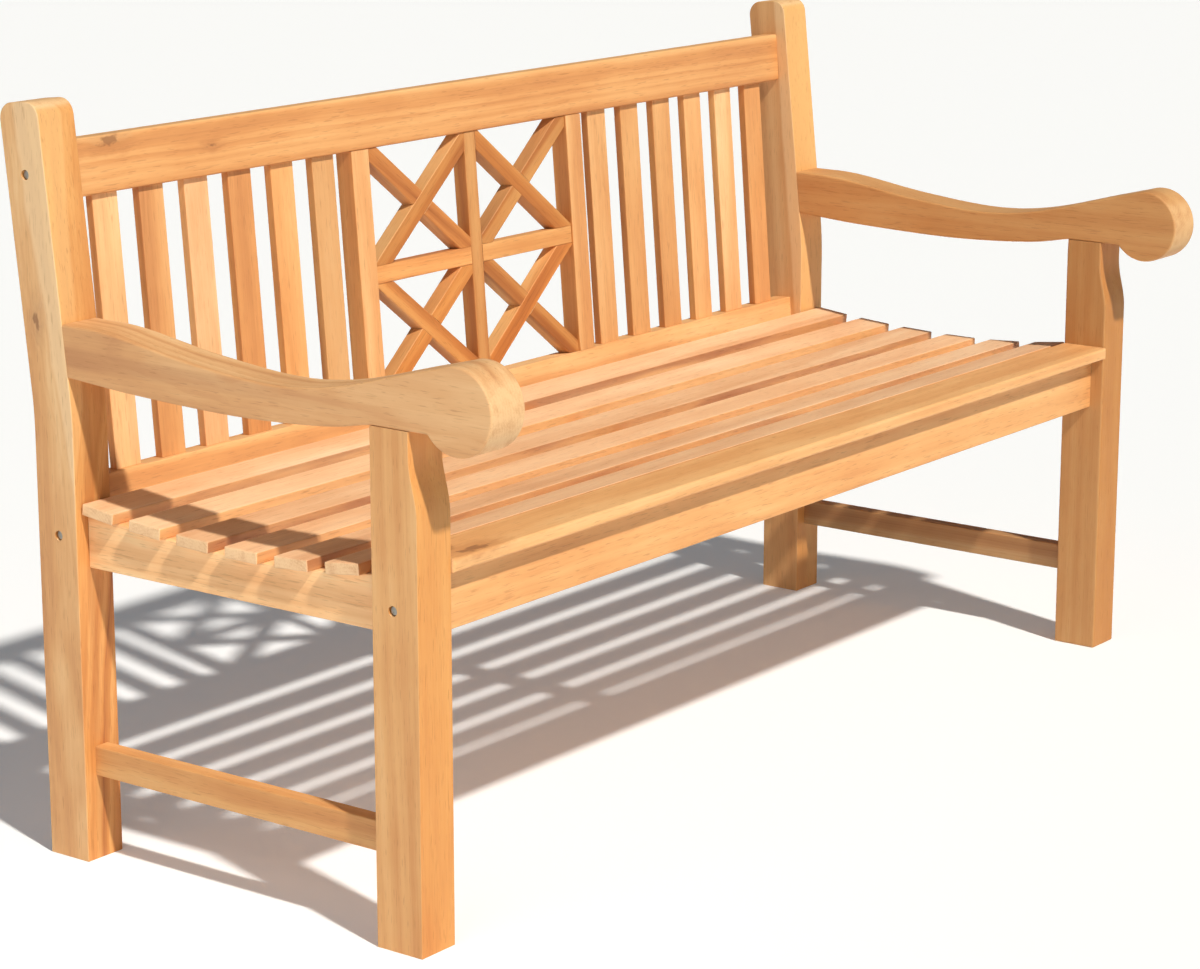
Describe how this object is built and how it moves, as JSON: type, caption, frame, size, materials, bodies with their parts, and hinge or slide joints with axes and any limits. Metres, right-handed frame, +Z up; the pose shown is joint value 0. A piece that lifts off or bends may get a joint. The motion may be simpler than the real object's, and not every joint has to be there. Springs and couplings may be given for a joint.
{
  "type": "garden bench",
  "caption": "Teak garden bench with scrolled armrests, a slatted dished seat, and a lattice panel set in a slatted back.",
  "frame": {"origin": "centre of the bench's bounding box, at floor level", "axes": "+X along the bench, to the right as seen from the front; +Y from the front to the back; +Z up"},
  "size_m": [1.6, 0.7332, 0.918],
  "materials": {
    "teak": "sanded, unoiled",
    "steel": "satin"
  },
  "bodies": {
    "root": {"armrest_left": "teak", "armrest_right": "teak", "back_bolt_left": "steel", "back_bolt_right": "steel", "back_lower_rail": "teak", "back_nut_left": "steel", "back_nut_right": "steel", "back_slat_left_1": "teak", "back_slat_left_2": "teak", "back_slat_left_3": "teak", "back_slat_left_4": "teak", "back_slat_left_5": "teak", "back_slat_left_6": "teak", "back_slat_right_1": "teak", "back_slat_right_2": "teak", "back_slat_right_3": "teak", "back_slat_right_4": "teak", "back_slat_right_5": "teak", "back_slat_right_6": "teak", "back_stile_left": "teak", "back_stile_right": "teak", "back_top_rail": "teak", "front_leg_left": "teak", "front_leg_right": "teak", "front_seat_rail": "teak", "front_seat_slat": "teak", "lattice_crossbar_left": "teak", "lattice_crossbar_right": "teak", "lattice_diagonal_lower_left": "teak", "lattice_diagonal_lower_right": "teak", "lattice_diagonal_upper_left": "teak", "lattice_diagonal_upper_right": "teak", "lattice_diamond_lower_left": "teak", "lattice_diamond_lower_right": "teak", "lattice_diamond_upper_left": "teak", "lattice_diamond_upper_right": "teak", "lattice_upright": "teak", "leg_bolt_left": "steel", "leg_bolt_right": "steel", "leg_nut_left": "steel", "leg_nut_right": "steel", "rear_post_left": "teak", "rear_post_right": "teak", "rear_seat_rail": "teak", "seat_bearer": "teak", "seat_bolt_left": "steel", "seat_bolt_right": "steel", "seat_nut_left": "steel", "seat_nut_right": "steel", "seat_side_rail_left": "teak", "seat_side_rail_right": "teak", "seat_slat_1": "teak", "seat_slat_2": "teak", "seat_slat_3": "teak", "seat_slat_4": "teak", "seat_slat_5": "teak", "seat_slat_6": "teak", "stretcher_left": "teak", "stretcher_right": "teak"}
  },
  "joints": []
}
